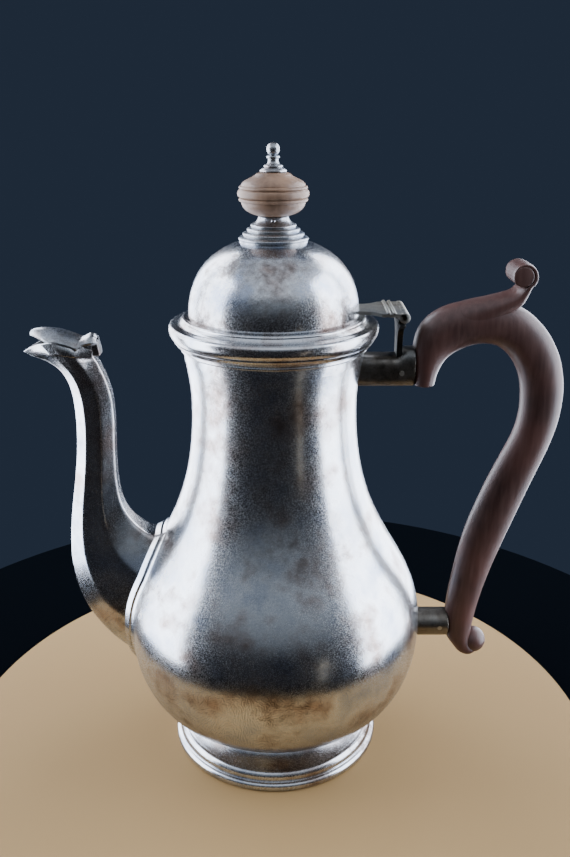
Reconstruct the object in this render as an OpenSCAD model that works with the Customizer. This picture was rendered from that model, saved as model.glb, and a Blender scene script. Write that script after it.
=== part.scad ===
/* [Body] */
// Height of the body's rim above the table
rim_z = 168.3; // [160:0.1:180]
// Radius of the body at its mouth
mouth_r = 32.4; // [31.5:0.1:34]
// Height of the straight lip below the rim
lip_h = 6.8; // [6:0.1:9]
// Radius of the neck at its narrowest
neck_r = 30.3; // [28.5:0.1:31]
// Height of the narrowest neck
neck_z = 144; // [138:0.5:148]
// Radius of the belly at its widest
belly_r = 57.1; // [54:0.1:60]
// Height of the widest belly
belly_z = 53.5; // [50:0.5:57]
// Radius where the body sits in the foot
base_r = 29; // [27:0.1:30.5]
// Height where the body sits in the foot
base_z = 13.6; // [13:0.1:15]
// Thickness of the body's silver sheet
wall = 1.2; // [1:0.05:1.5]
// How far the applied moulding stands out from the mouth
rim_out = 3.8; // [3.2:0.1:4]
// Height of the applied moulding
rim_h = 3.9; // [3.4:0.1:5]

/* [Foot] */
// Radius of the foot at the table
foot_r = 41.6; // [39:0.1:44]
// Height of the foot's two rolled rings
foot_ring_h = 7.4; // [6.5:0.1:8.5]
// Thickness of the foot's wall
foot_wall = 1.3; // [1:0.05:1.8]

/* [Lid] */
// Gap between the lid and the rim when it is shut
lid_gap = 0.3; // [0.1:0.05:0.5]
// Radius of the lid's flange
flange_r = 37.6; // [37:0.1:39]
// Height of the flange and its bead
flange_h = 7.7; // [7:0.1:9]
// Radius of the dome at its foot
dome_r = 30.4; // [29:0.1:31]
// Height of the dome above the flange
dome_h = 27; // [24:0.5:32]
// Thickness of the dome
dome_wall = 1; // [0.8:0.05:1.3]
// Depth of the bezel that drops into the mouth
bezel_h = 4.5; // [3:0.1:5.5]

/* [Finial] */
// Height of the stepped silver base
collet_h = 8.3; // [7:0.1:10]
// Radius of the stepped silver base
collet_r = 12.1; // [11:0.1:13]
// Radius of the wooden knob
knob_r = 12.3; // [11:0.1:14]
// Height of the wooden knob
knob_h = 14.4; // [13:0.1:17]
// Radius of the ball on top
ball_r = 2.25; // [1.9:0.05:2.8]
// Radius of the threaded stud
stud_r = 1.5; // [1.2:0.05:1.6]
// Radius of the nut inside the lid
nut_r = 4; // [3.2:0.1:5]

/* [Lid hinge] */
// Distance of the hinge pin from the pot's axis
hinge_x = 45.6; // [44.5:0.1:47.5]
// Height of the hinge pin above the rim
hinge_up = 8.6; // [8.2:0.1:10]
// Width of the hinge
hinge_w = 21; // [17:0.5:24]
// Outer radius of the hinge's knuckles
knuckle_r = 1.9; // [1.7:0.05:2.1]
// Radius of the hinge pin
hinge_pin_r = 0.8; // [0.6:0.05:1]
// Thickness of the strap on the lid
strap_t = 1.3; // [1:0.05:1.6]

/* [Sockets] */
// Drop of the upper socket's axis below the rim
upper_drop = 12.5; // [12.1:0.1:14]
// Radius of the upper socket
upper_r = 5.8; // [5.2:0.1:6]
// How far the upper socket reaches out from the neck
upper_reach = 20.7; // [20.3:0.1:21.2]
// Drop of the lower socket's axis below the widest belly
lower_drop = 3.9; // [3:0.1:5]
// Radius of the lower socket
lower_r = 5.6; // [5.2:0.1:6]
// How far the lower socket reaches out from the belly
lower_reach = 12.3; // [11.9:0.1:12.6]
// Radius of the two pins through the handle
handle_pin_r = 0.9; // [0.7:0.05:1.1]
// Clearance of the handle's tenons in the sockets
tenon_gap = 0.15; // [0.05:0.05:0.3]

/* [Handle] */
// Half thickness of the handle across its sides, at the top
handle_top_t = 7; // [6.2:0.1:7.5]
// Half thickness of the handle across its sides, at the bottom
handle_low_t = 5.6; // [5:0.1:6.2]
// Radius of the roll at the end of the thumb scroll
curl_r = 3.35; // [2.8:0.05:3.6]
// Radius of the ball at the handle's lower end
terminal_r = 3.9; // [3.4:0.1:4.2]

/* [Spout] */
// Half width of the spout at its root
spout_root_w = 13; // [11:0.1:14]
// Half width of the spout's slim stem
spout_stem_w = 7; // [6.2:0.1:7.8]
// Half width of the beak
beak_w = 7.6; // [7:0.1:8.4]
// Thickness of the spout's wall
spout_wall = 1; // [0.8:0.05:1.2]
// Width of the flat collar round the spout's root
collar_w = 2.6; // [1.8:0.1:3.4]
// Thickness of the flat collar
collar_t = 0.9; // [0.6:0.05:1.2]
// Radius of the strainer holes behind the spout
strainer_r = 1.6; // [1.2:0.1:1.9]

/* [Spout flap] */
// Distance of the flap's hinge pin from the pot's axis
flap_hinge_x = 64.6; // [64.2:0.1:65]
// Height of the flap's hinge pin
flap_hinge_z = 165.8; // [165.5:0.1:166.2]
// Radius of the flap's hinge pin
flap_pin_r = 0.5; // [0.4:0.05:0.6]
// Outer radius of the flap's knuckles
flap_knuckle_r = 1.2; // [1.1:0.05:1.3]

/* [Hidden] */
silver = "silver";
old_wood = "#5a3a34";
knob_wood = "#a8907f";
turn = 96;
pin_play = 0.05;
end_play = 0.2;

// ---- curves and lofts -------------------------------------------------------

function bezier(a, b, c, d, n) = [for (i = [0 : n])
    let (t = i / n, s = 1 - t) s*s*s*a + 3*s*s*t*b + 3*s*t*t*c + t*t*t*d];
function skip_first(p) = [for (i = [1 : len(p) - 1]) p[i]];
function reversed(p) = [for (i = [len(p) - 1 : -1 : 0]) p[i]];
// Points moved to the left of the path's direction, by t
function inset(p, t) = [for (i = [0 : len(p) - 1])
    let (a = p[max(i - 1, 0)], b = p[min(i + 1, len(p) - 1)], d = (b - a) / norm(b - a))
    [max(0, p[i].x - t * d.y), p[i].y + t * d.x]];

// A closed skin through rings of equal length, with its two ends capped
module loft(rings) {
    n = len(rings[0]);
    last = len(rings) - 1;
    points = [for (r = rings) for (p = r) p];
    sides = [for (k = [0 : last - 1]) for (i = [0 : n - 1])
        let (j = (i + 1) % n) each [
            [k*n + i, k*n + j, (k + 1)*n + j], [k*n + i, (k + 1)*n + j, (k + 1)*n + i]]];
    low_cap = [for (i = [1 : n - 2]) [0, i + 1, i]];
    high_cap = [for (i = [1 : n - 2]) [last*n, last*n + i, last*n + i + 1]];
    polyhedron(points, concat(sides, low_cap, high_cap), convexity = 6);
}

// ---- body -------------------------------------------------------------------

base_point = [base_r, base_z];
belly_point = [belly_r, belly_z];
neck_point = [neck_r, neck_z];
lip_point = [mouth_r, rim_z - lip_h];
bottom_dish = 1.6;
body_curve = concat(
    [[0, base_z - bottom_dish], [base_r * 0.6, base_z - bottom_dish * 0.75]],
    bezier(base_point, base_point + [4.7, 2.1], belly_point - [0, 35], belly_point, 12),
    skip_first(bezier(belly_point, belly_point + [0, 30.6], neck_point - [0, 54.3], neck_point, 16)),
    skip_first(bezier(neck_point, neck_point + [0, 6.5], lip_point - [0.9, 4.5], lip_point, 5)),
    [[mouth_r, rim_z]]);
inner_curve = inset(body_curve, wall);

// Outer radius of the body at height z
radius_table = [for (p = body_curve) [p.y, p.x]];
function body_radius(z) = lookup(z, radius_table);

module body_solid(extra = 0) {
    skin = extra == 0 ? body_curve : inset(body_curve, -extra);
    rotate_extrude($fn = turn) polygon(concat(skin, [[0, rim_z]]));
}

strainer_rows = 5;
strainer_pitch = 5.6;
strainer_z = belly_z + 10.5;
module strainer_holes() {
    for (row = [0 : strainer_rows - 1]) {
        count = row % 2 == 0 ? 3 : 2;
        for (i = [0 : count - 1])
            translate([0, (i - (count - 1) / 2) * strainer_pitch,
                    strainer_z + (row - (strainer_rows - 1) / 2) * strainer_pitch * 0.87])
                rotate([0, -90, 0]) cylinder(r = strainer_r, h = belly_r + 2, $fn = 24);
    }
}

module body_shell() {
    color(silver) difference() {
        rotate_extrude($fn = turn) polygon(concat(body_curve, reversed(inner_curve)));
        strainer_holes();
    }
}

// Applied moulding that thickens the mouth: an undercut roll over a small bead
module rim_moulding() {
    h = rim_h;
    color(silver) rotate_extrude($fn = turn) translate([mouth_r, rim_z - h]) polygon([
        [0, 0], [rim_out*0.25, h*0.06], [rim_out*0.35, h*0.2], [rim_out*0.35, h*0.36],
        [rim_out*0.45, h*0.46], [rim_out*0.68, h*0.55], [rim_out*0.86, h*0.74],
        [rim_out, h], [0, h]]);
}

// ---- foot -------------------------------------------------------------------

// Two rolled rings and a cove, hollow underneath, cut to the body's bottom
module foot_ring() {
    f = foot_ring_h;
    r = foot_r;
    waist = base_r + 1.6;
    top = base_z + 2;
    outside = concat(
        bezier([r - 0.5, 0], [r + 0.25, f*0.1], [r + 0.1, f*0.4], [r - 1.9, f*0.45], 5),
        bezier([r - 1.9, f*0.48], [r - 1.4, f*0.6], [r - 2.3, f*0.94], [r - 4.1, f*0.97], 5),
        bezier([r - 4.5, f + 0.1], [r - 6, f + 0.7], [waist + 0.6, f + 3], [waist, top], 6));
    inside = [[waist - foot_wall, top], [waist - foot_wall, f + 2.6], [r - 6.2, f - 1.6],
        [r - 3.4, f*0.4], [r - 3, 0]];
    color(silver) difference() {
        rotate_extrude($fn = turn) polygon(concat(outside, inside));
        body_solid();
    }
}

// ---- lid --------------------------------------------------------------------

flange_z = rim_z + lid_gap;
dome_z = flange_z + flange_h;
dome_top = dome_z + dome_h;
bezel_r = mouth_r - wall - 0.3;
bezel_wall = 1;
dome_curve = bezier([dome_r, dome_z], [dome_r, dome_z + dome_h*0.65], [dome_r*0.6, dome_top],
    [0, dome_top], 18);

module dome_solid() {
    rotate_extrude($fn = turn) polygon(concat([[0, dome_z]], dome_curve));
}

module lid_dome() {
    hollow = inset(dome_curve, dome_wall);
    n = len(hollow) - 1;
    inner = [for (i = [0 : n]) i == 0 ? [dome_r - dome_wall, dome_z] :
        i == n ? [0, dome_top - dome_wall] : hollow[i]];
    color(silver) difference() {
        rotate_extrude($fn = turn) polygon(concat(dome_curve, reversed(inner)));
        translate([0, 0, dome_z]) cylinder(r = stud_r + 0.1, h = dome_h + 1, $fn = 32);
    }
}

// Broad moulded flange with a cove and a bead round the dome's foot
module lid_flange() {
    r = flange_r;
    h = flange_h;
    bead = dome_r + 1.7;
    inner = dome_r - dome_wall;
    color(silver) rotate_extrude($fn = turn) translate([0, flange_z]) polygon([
        [bezel_r, 0], [r - 1.3, 0], [r - 0.7, h*0.09], [r - 0.2, h*0.23], [r, h*0.39],
        [r - 0.1, h*0.54], [r - 0.5, h*0.64], [r - 1.3, h*0.68], [r - 2.4, h*0.69], [bead + 1.5, h*0.73],
        [bead + 0.6, h*0.78], [bead + 0.5, h*0.84], [bead, h*0.94], [bead - 0.8, h*0.99],
        [dome_r, h], [inner, h], [inner, h*0.45], [bezel_r, h*0.45]]);
}

// Ring that drops into the mouth, tapered so that it swings clear of the far side
module lid_bezel() {
    up = flange_h * 0.45;
    lean = 0.2;
    inner = bezel_r - lean*bezel_h - bezel_wall;
    color(silver) rotate_extrude($fn = turn) translate([0, flange_z]) polygon([
        [inner, -bezel_h], [bezel_r - lean*bezel_h, -bezel_h], [bezel_r, 0], [bezel_r, up],
        [inner, up]]);
}

// ---- finial -----------------------------------------------------------------

collet_z = dome_top - 1;
knob_z = collet_z + collet_h;
cap_z = knob_z + knob_h;

module stud_hole(z, h) {
    translate([0, 0, z]) cylinder(r = stud_r + 0.1, h = h, $fn = 32);
}

// Steps of shrinking radius, each with a small hollow above its ring
module finial_collet() {
    steps = [[1, 0.08], [0.86, 0.2], [0.735, 0.38], [0.645, 0.55]];
    stair = [for (s = steps) each [
        [s.x * collet_r, s.y * collet_h], [s.x * collet_r, (s.y + 0.09) * collet_h],
        [(s.x - 0.05) * collet_r, (s.y + 0.13) * collet_h]]];
    color(silver) difference() {
        translate([0, 0, collet_z]) rotate_extrude($fn = turn) polygon(concat(
            [[0, -3], [collet_r, -3]], stair,
            [[0.5 * collet_r, 0.78 * collet_h], [0.39 * collet_r, 0.92 * collet_h],
            [0.37 * collet_r, collet_h], [0, collet_h]]));
        dome_solid();
        stud_hole(dome_z, dome_h + collet_h + 2);
    }
}

// Turned knob with a raised band between two pairs of grooves
module finial_knob() {
    k = knob_r;
    h = knob_h;
    color(knob_wood) difference() {
        translate([0, 0, knob_z]) rotate_extrude($fn = turn) polygon(concat(
            [[0, 0], [k*0.37, 0]],
            bezier([k*0.4, h*0.01], [k*0.62, h*0.05], [k*0.86, h*0.14], [k*0.9, h*0.33], 6),
            [[k*0.94, h*0.35], [k*0.955, h*0.39], [k*0.945, h*0.42]],
            bezier([k*0.985, h*0.44], [k*1.01, h*0.49], [k*0.99, h*0.56], [k*0.955, h*0.6], 4),
            [[k*0.94, h*0.615], [k*0.945, h*0.65], [k*0.91, h*0.68]],
            bezier([k*0.9, h*0.7], [k*0.84, h*0.86], [k*0.56, h*0.86], [k*0.45, h*0.96], 6),
            [[k*0.37, h], [0, h]]));
        stud_hole(knob_z - 1, knob_h + 2);
    }
}

nut_h = 3;
stud_low = dome_top - dome_wall - nut_h - 2;

// Silver button with a ball, and the stud that holds the finial together
module finial_cap() {
    b = ball_r;
    top = cap_z + 7.5;
    color(silver) union() {
        translate([0, 0, cap_z]) rotate_extrude($fn = 64) polygon([
            [0, 0], [4.55, 0], [4.6, 0.6], [4.2, 1.3], [3.2, 1.7], [3.2, 2.3], [2.7, 2.8],
            [1.85, 3], [1.7, 4.1], [1.9, 4.5], [2.2, 4.8], [2.2, 5.2], [1.7, 5.6], [0, 5.6]]);
        translate([0, 0, top]) sphere(r = b, $fn = 48);
        translate([0, 0, stud_low]) cylinder(r = stud_r, h = cap_z - stud_low + 1, $fn = 32);
    }
}

module finial_nut() {
    top = lookup(nut_r + dome_wall, reversed(dome_curve)) - dome_wall - 0.1;
    color(silver) translate([0, 0, top - nut_h]) difference() {
        cylinder(r = nut_r, h = nut_h, $fn = 6);
        translate([0, 0, -1]) cylinder(r = stud_r + 0.02, h = nut_h + 2, $fn = 32);
    }
}

// ---- lid hinge --------------------------------------------------------------

upper_z = rim_z - upper_drop;
upper_end = neck_r + upper_reach;
lower_z = belly_z - lower_drop;
lower_end = belly_r + lower_reach;
hinge_z = rim_z + hinge_up;
knuckles = 5;
knuckle_pitch = hinge_w / knuckles;
strap_top = hinge_z + knuckle_r - 0.3;

// One knuckle of the row, lying along Y
module knuckle(i) {
    y = -hinge_w/2 + i*knuckle_pitch;
    translate([hinge_x, y + end_play/2, hinge_z]) rotate([-90, 0, 0])
        cylinder(r = knuckle_r, h = knuckle_pitch - end_play, $fn = 48);
}

module hinge_bore(play) {
    translate([hinge_x, -hinge_w/2 - 1, hinge_z]) rotate([-90, 0, 0])
        cylinder(r = hinge_pin_r + play, h = hinge_w + 2, $fn = 32);
}

// Room for a knuckle of the other leaf
module knuckle_room(i) {
    y = -hinge_w/2 + i*knuckle_pitch;
    r = knuckle_r + 0.3;
    translate([hinge_x, y - end_play/2, hinge_z]) rotate([-90, 0, 0])
        cylinder(r = r, h = knuckle_pitch + end_play, $fn = 48);
}

// Shaped strap soldered to the dome, with reeds across it and the odd knuckles
module lid_strap() {
    w = hinge_w / 2;
    color(silver) difference() {
        union() {
            translate([0, 0, strap_top - strap_t]) linear_extrude(strap_t) polygon([
                [dome_r*0.8, -w*0.6], [dome_r + 2, -w*0.6], [dome_r + 5, -w*0.72],
                [dome_r + 7.5, -w + end_play/2], [hinge_x, -w + end_play/2],
                [hinge_x, w - end_play/2], [dome_r + 7.5, w - end_play/2],
                [dome_r + 5, w*0.72], [dome_r + 2, w*0.6], [dome_r*0.8, w*0.6]]);
            for (x = [hinge_x - 5.6, hinge_x - 3.6]) translate([x, -w + end_play/2, strap_top])
                rotate([-90, 0, 0]) cylinder(r = 0.55, h = hinge_w - end_play, $fn = 24);
            for (i = [0 : 2 : knuckles - 1]) knuckle(i);
        }
        for (i = [1 : 2 : knuckles - 1]) knuckle_room(i);
        dome_solid();
        hinge_bore(pin_play);
    }
}

// Stand on the upper socket that carries the even knuckles
module hinge_bracket() {
    w = hinge_w / 2 - end_play;
    t = 2.6;
    low = upper_z;
    shoulder = hinge_z - knuckle_r - 0.6;
    color(silver) difference() {
        union() {
            translate([hinge_x - t/2 - 0.3, 0, 0]) rotate([90, 0, 90]) linear_extrude(t) polygon([
                [-upper_r, low], [upper_r, low], [upper_r, upper_z + upper_r + 1],
                [w*0.62, shoulder - 6], [w, shoulder], [-w, shoulder], [-w*0.62, shoulder - 6],
                [-upper_r, upper_z + upper_r + 1]]);
            for (i = [1 : 2 : knuckles - 1]) {
                knuckle(i);
                translate([hinge_x - t/2 - 0.3, -hinge_w/2 + i*knuckle_pitch + end_play/2,
                        shoulder - 1])
                    cube([t, knuckle_pitch - end_play, hinge_z - shoulder + 1]);
            }
        }
        socket_outline();
        hinge_bore(pin_play);
    }
}

module hinge_pin() {
    color(silver) translate([hinge_x, -hinge_w/2 + end_play/2, hinge_z]) rotate([-90, 0, 0])
        cylinder(r = hinge_pin_r, h = hinge_w - end_play, $fn = 32);
}

// ---- sockets and handle -----------------------------------------------------

plate_t = 5;
plate_up = 8.2;
tenon_len = 8;
tenon_h = upper_r * 0.72;
tenon_w = upper_r * 0.64;
lower_tenon_r = lower_r - 1.4;
upper_pin_x = upper_end - tenon_len + 2.9;
lower_pin_x = lower_end - 3.6;

// Outside of the upper socket: a round arm with a taller end plate
module socket_outline() {
    translate([neck_r - 6, 0, upper_z]) rotate([0, 90, 0])
        cylinder(r = upper_r, h = upper_end - plate_t - neck_r + 7, $fn = 64);
    translate([upper_end - plate_t, -upper_r - 0.6, upper_z - upper_r])
        cube([plate_t, 2*upper_r + 1.2, upper_r + plate_up]);
}

module upper_socket() {
    color(silver) difference() {
        socket_outline();
        body_solid();
        translate([upper_end - tenon_len - tenon_gap, -tenon_w - tenon_gap,
                upper_z - tenon_h - tenon_gap])
            cube([tenon_len + 1, 2*(tenon_w + tenon_gap), 2*(tenon_h + tenon_gap)]);
        pin_hole(upper_pin_x, upper_z);
    }
}

module lower_socket() {
    color(silver) difference() {
        translate([belly_r - 9, 0, lower_z]) rotate([0, 90, 0])
            cylinder(r = lower_r, h = lower_end - belly_r + 9, $fn = 64);
        body_solid();
        translate([lower_end - tenon_len - tenon_gap, 0, lower_z]) rotate([0, 90, 0])
            cylinder(r = lower_tenon_r + tenon_gap, h = tenon_len + 1, $fn = 48);
        pin_hole(lower_pin_x, lower_z);
    }
}

module pin_hole(x, z) {
    translate([x, -12, z]) rotate([-90, 0, 0])
        cylinder(r = handle_pin_r + 0.02, h = 24, $fn = 32);
}

// Rings of the handle: outer point, inner point, share of the way from the upper socket to the
// lower one. The points are measured from the spot that far along between the two sockets' ends
handle_spans = [
    [[-0.8, -6.2], [7.4, -6.2], 0], [[-0.8, 0.2], [8.6, -0.8], 0],
    [[-0.8, 6.7], [10.6, 3.2], 0], [[0.2, 13.6], [13.4, 6], 0],
    [[3.6, 19], [17.3, 8.1], 0], [[9.6, 23], [21.6, 9.4], 0],
    [[18, 25.1], [25.6, 9.7], 0], [[27.6, 30.5], [28.7, 14.1], 0.05],
    [[36.4, 32.9], [32, 16.1], 0.1], [[43.6, 31.1], [34.2, 16.7], 0.15],
    [[48.3, 27.2], [35.2, 17], 0.2], [[50.1, 22.8], [35.1, 16.8], 0.25],
    [[49.6, 19.1], [34.3, 15.9], 0.3], [[47.6, 15.7], [32.5, 14.9], 0.35],
    [[44.2, 12.1], [29.5, 14.3], 0.4], [[39.1, 13.5], [24.9, 18.5], 0.5],
    [[33.5, 13.4], [19, 19.5], 0.6], [[28.8, 8], [14.4, 15], 0.65],
    [[24.4, 3], [10.6, 11.3], 0.7], [[19.5, 4], [6.5, 12.2], 0.8],
    [[16.1, 0.3], [3.8, 6.9], 0.85], [[13.3, -2.6], [1.4, 1.8], 0.9],
    [[11.2, -4.9], [-0.1, -2.4], 0.95], [[9.9, -4.2], [-0.4, -4.8], 1],
    [[10.2, -7.6], [2, -10], 1], [[10.8, -9.6], [5.6, -14.2], 1],
    [[12.2, -11], [10.8, -15.4], 1]];
handle_sides = 16;

// Spot at a share of the way from the upper socket's end to the lower one's
function between_sockets(share) = [upper_end, upper_z] * (1 - share) + [lower_end, lower_z] * share;
function handle_ring(s) = let (mid = (s[0] + s[1]) / 2 + between_sockets(s[2]), half = (s[0] - s[1]) / 2,
    t = handle_top_t + (handle_low_t - handle_top_t) * s[2])
    [for (i = [0 : handle_sides - 1]) let (a = 360 * i / handle_sides, p = mid + half * cos(a))
        [p.x, t * sin(a), p.y]];

curl_centre = [upper_end + 35.6, upper_z + 34.7];
curl_start = -50;
curl_end = 200;
// Outer radius of the strap that rolls round the curl, at angle a
function strap_radius(a) = curl_r + 0.1 + 2.3 * pow((curl_end - a) / (curl_end - curl_start), 0.9);
function strap_thickness(a) = 1.1 + 1.9 * pow((curl_end - a) / (curl_end - curl_start), 3);
function around(a, r) = curl_centre + r * [cos(a), sin(a)];
// Rings of the thumb scroll: upper point, lower point, half thickness
scroll_spans = concat(
    [for (s = [[[9.5, 20.8], [11.5, 16.2], 2.6], [[18.4, 25.2], [20, 18.2], 1.5],
        [[25.4, 26.9], [27.4, 20], 0.7], [[30.4, 28.1], [33.4, 22], 0.4],
        [[33.8, 29.2], [37, 24.8], 0.4]])
        [s[0] + between_sockets(0), s[1] + between_sockets(0), handle_top_t - s[2]]],
    [for (a = [curl_start : 20 : curl_end]) let (r = strap_radius(a))
        [around(a, r - strap_thickness(a)), around(a, r), handle_top_t - 0.4]]);
// Flattened round corners: a squarer ring than an ellipse
function square_off(c) = sign(c) * pow(abs(c), 0.6);
function scroll_ring(s) = let (mid = (s[0] + s[1]) / 2, half = (s[1] - s[0]) / 2)
    [for (i = [0 : 11]) let (a = 15 + 30*i, p = mid + half * square_off(cos(a)))
        [p.x, -s[2] * square_off(sin(a)), p.y]];

module xz_plate(half_t) {
    translate([0, half_t, 0]) rotate([90, 0, 0]) linear_extrude(2*half_t) children();
}

// Carved handle: one loop, the thumb scroll, the end ball and two tenons
module handle() {
    color(old_wood) difference() {
        union() {
            difference() {
                union() {
                    loft([for (s = handle_spans) handle_ring(s)]);
                    loft([for (s = scroll_spans) scroll_ring(s)]);
                    xz_plate(handle_top_t - 0.4) translate(curl_centre) circle(r = curl_r, $fn = 48);
                    translate([lower_end + 12.6, 0, lower_z - 9.6]) sphere(r = terminal_r, $fn = 48);
                }
                translate([upper_end - 8, -15, upper_z - 10]) cube([8, 30, plate_up + 10]);
                translate([lower_end - 8, -15, lower_z - lower_r - 0.5])
                    cube([8, 30, 2*lower_r + 1]);
            }
            translate([upper_end - tenon_len, -tenon_w, upper_z - tenon_h])
                cube([tenon_len + 3, 2*tenon_w, 2*tenon_h]);
            translate([lower_end - tenon_len, 0, lower_z]) rotate([0, 90, 0])
                cylinder(r = lower_tenon_r, h = tenon_len + 3, $fn = 48);
        }
        pin_hole(upper_pin_x, upper_z);
        pin_hole(lower_pin_x, lower_z);
    }
}

module handle_pin(x, z, half) {
    translate([x, -half, z]) rotate([-90, 0, 0]) cylinder(r = handle_pin_r, h = 2*half, $fn = 32);
}

module upper_handle_pin() {
    color(silver) handle_pin(upper_pin_x, upper_z, upper_r + 0.6);
}

module lower_handle_pin() {
    color(silver) handle_pin(lower_pin_x, lower_z, lower_r);
}

// ---- spout ------------------------------------------------------------------

// Rings of the spout: front point, back point, share of root width, narrowing at the front
spout_spans = [
    [[-49, 36.5], [-38, 88], 1, 0], [[-59.8, 41.5], [-47.5, 90.8], 0.95, 0],
    [[-69, 50.8], [-51.3, 93], 0.78, 0], [[-75.6, 62.3], [-54.8, 96.3], 0.55, 0],
    [[-78.8, 76], [-57.3, 100.2], 0.35, 0], [[-78.8, 89], [-58.9, 105], 0.2, 0],
    [[-77.4, 101], [-59.7, 111], 0.1, 0], [[-75.4, 113], [-59.9, 118.5], 0.04, 0],
    [[-73.8, 125], [-59.7, 127.5], 0, 0], [[-73.2, 136], [-59.3, 136.8], 0, 0],
    [[-73.6, 145], [-59.7, 145.2], 0, 0], [[-75, 151.6], [-61.2, 151.8], 0, 0],
    [[-77.6, 156.4], [-63, 157], 0, 0.1]];
head_spans = [
    [[-77.6, 156.4], [-63, 157], 0, 0.1, 0], [[-81.8, 159.4], [-63.6, 159.6], 0.5, 0.3, 0.6],
    [[-86.6, 161.4], [-63.8, 162], 0.8, 0.5, 1.6], [[-90.6, 163], [-64, 163.6], 1, 0.72, 2.6]];
octagon = [for (i = [0 : 7]) [cos(22.5 + 45*i), -sin(22.5 + 45*i)] / cos(22.5)];

// Eight corners between a front and a back point; positive grow makes the ring larger
function panel_ring(f, b, w, nose, rise, grow) =
    let (mid = (f + b) / 2, half = (b - f) / 2, far = norm(half), dir = half / far)
    [for (c = octagon) let (p = mid + dir * c.x * (far + grow),
        narrow = c.x < 0 ? 1 + nose * c.x / 1.2 : 1)
        [p.x, c.y * (w + grow) * narrow, p.y + rise * (1 - c.x*c.x)]];
function spout_ring(s, grow) = panel_ring(s[0], s[1],
    spout_stem_w + (spout_root_w - spout_stem_w) * s[2], s[3], 0, grow);
function head_ring(s, grow) = panel_ring(s[0], s[1],
    spout_stem_w + (beak_w - spout_stem_w) * s[2], s[3], s[4], grow);

module spout_solid(grow) {
    loft([for (s = spout_spans) spout_ring(s, grow)]);
}

// Eight-panelled swan neck, open at both ends and cut to the belly
module spout_tube() {
    n = len(spout_spans) - 1;
    bore = [for (i = [0 : n]) spout_ring(spout_spans[i], -spout_wall)];
    over = [for (p = bore[n]) p + [-0.6, 0, 1]];
    color(silver) difference() {
        spout_solid(0);
        loft(concat(bore, [over]));
        body_solid();
    }
}

// Flat band laid on the belly round the spout's root
module spout_collar() {
    color(silver) difference() {
        intersection() {
            body_solid(collar_t);
            translate([-belly_r - 8, -belly_r, base_z]) cube([belly_r, 2*belly_r, neck_z - base_z]);
            loft([for (i = [0 : 3]) spout_ring(spout_spans[i], collar_w)]);
        }
        body_solid();
        spout_solid(0);
    }
}

flap_w = 5;

module head_solid() {
    loft([for (s = head_spans) head_ring(s, 0)]);
}

// Lower beak with its pouring lip
module spout_head() {
    n = len(head_spans) - 1;
    bore = [for (s = head_spans) head_ring(s, -spout_wall)];
    under = [for (p = bore[0]) p - [-0.6, 0, 1]];
    over = [for (p = bore[n]) p + [0, 0, 4]];
    color(silver) difference() {
        head_solid();
        loft(concat([under], bore, [over]));
    }
}

module flap_bore() {
    translate([-flap_hinge_x, -6, flap_hinge_z]) rotate([-90, 0, 0])
        cylinder(r = flap_pin_r + pin_play, h = 12, $fn = 24);
}

// Two ears on a foot behind the mouth, soldered to the spout's back edge
module flap_lug() {
    ear = 1.5;
    x = -flap_hinge_x;
    z = flap_hinge_z;
    r = flap_knuckle_r;
    color(silver) difference() {
        union() {
            for (side = [-1, 1]) translate([0, side * (flap_w/2 + ear/2 + 0.1), 0])
                xz_plate(ear/2) {
                    translate([x, z]) circle(r = r, $fn = 32);
                    polygon([[x - r, z], [x + r, z], [x + r + 0.2, z - r - 1.5],
                        [x - r, z - r - 1.5]]);
                }
            translate([x - r, -flap_w/2 - ear/2, z - r - 3.6])
                cube([2*r + 0.8, flap_w + ear, 2.3]);
        }
        head_solid();
        flap_bore();
    }
}

// Hinged upper beak: a leaf in plan, arched from the side, with a knuckle behind
module spout_flap() {
    x = -flap_hinge_x;
    z = flap_hinge_z;
    w = beak_w;
    side_view = concat(
        bezier([x - 23, z + 3.4], [x - 19, z + 6.4], [x - 12, z + 6.6], [x - 5.5, z + 2.9], 10),
        [[x - 3, z + 3], [x - 0.5, z + 3.1], [x + 1.1, z + 2.4], [x + 1.2, z + 1.5],
        [x - 2.4, z + 1.5], [x - 5.8, z + 1.1]],
        bezier([x - 6, z + 1.1], [x - 12, z + 2.7], [x - 17, z + 3.1], [x - 22.6, z + 2.4], 6));
    half_plan = concat(
        bezier([x - 23.2, 0.4], [x - 20, w*0.75], [x - 13, w*1.05], [x - 8.6, w*0.98], 6),
        [[x - 6, w*0.8], [x - 4.4, w*0.72], [x - 2.6, w*0.84], [x - 0.6, w*0.74],
        [x + 0.2, w*0.5], [x + 1.2, w*0.34], [x + 1.3, 0]]);
    color(silver) difference() {
        union() {
            intersection() {
                xz_plate(w + 2) polygon(side_view);
                translate([0, 0, z]) linear_extrude(8)
                    polygon(concat(half_plan, [for (p = reversed(half_plan)) [p.x, -p.y]]));
            }
            xz_plate(flap_w/2 - end_play) {
                translate([x, z]) circle(r = flap_knuckle_r, $fn = 32);
                polygon([[x - 0.9, z], [x + 0.9, z], [x + 0.9, z + 2], [x - 0.9, z + 2]]);
            }
        }
        flap_bore();
    }
}

module flap_hinge_pin() {
    half = flap_w/2 + 1.6;
    color(silver) translate([-flap_hinge_x, -half, flap_hinge_z]) rotate([-90, 0, 0])
        cylinder(r = flap_pin_r, h = 2*half, $fn = 24);
}

// ---- assembly ---------------------------------------------------------------

body_shell();
rim_moulding();
foot_ring();
spout_tube();
spout_collar();
spout_head();
flap_lug();
spout_flap();
flap_hinge_pin();
lid_dome();
lid_flange();
lid_bezel();
finial_collet();
finial_knob();
finial_cap();
finial_nut();
lid_strap();
hinge_bracket();
hinge_pin();
upper_socket();
lower_socket();
handle();
upper_handle_pin();
lower_handle_pin();
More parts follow.
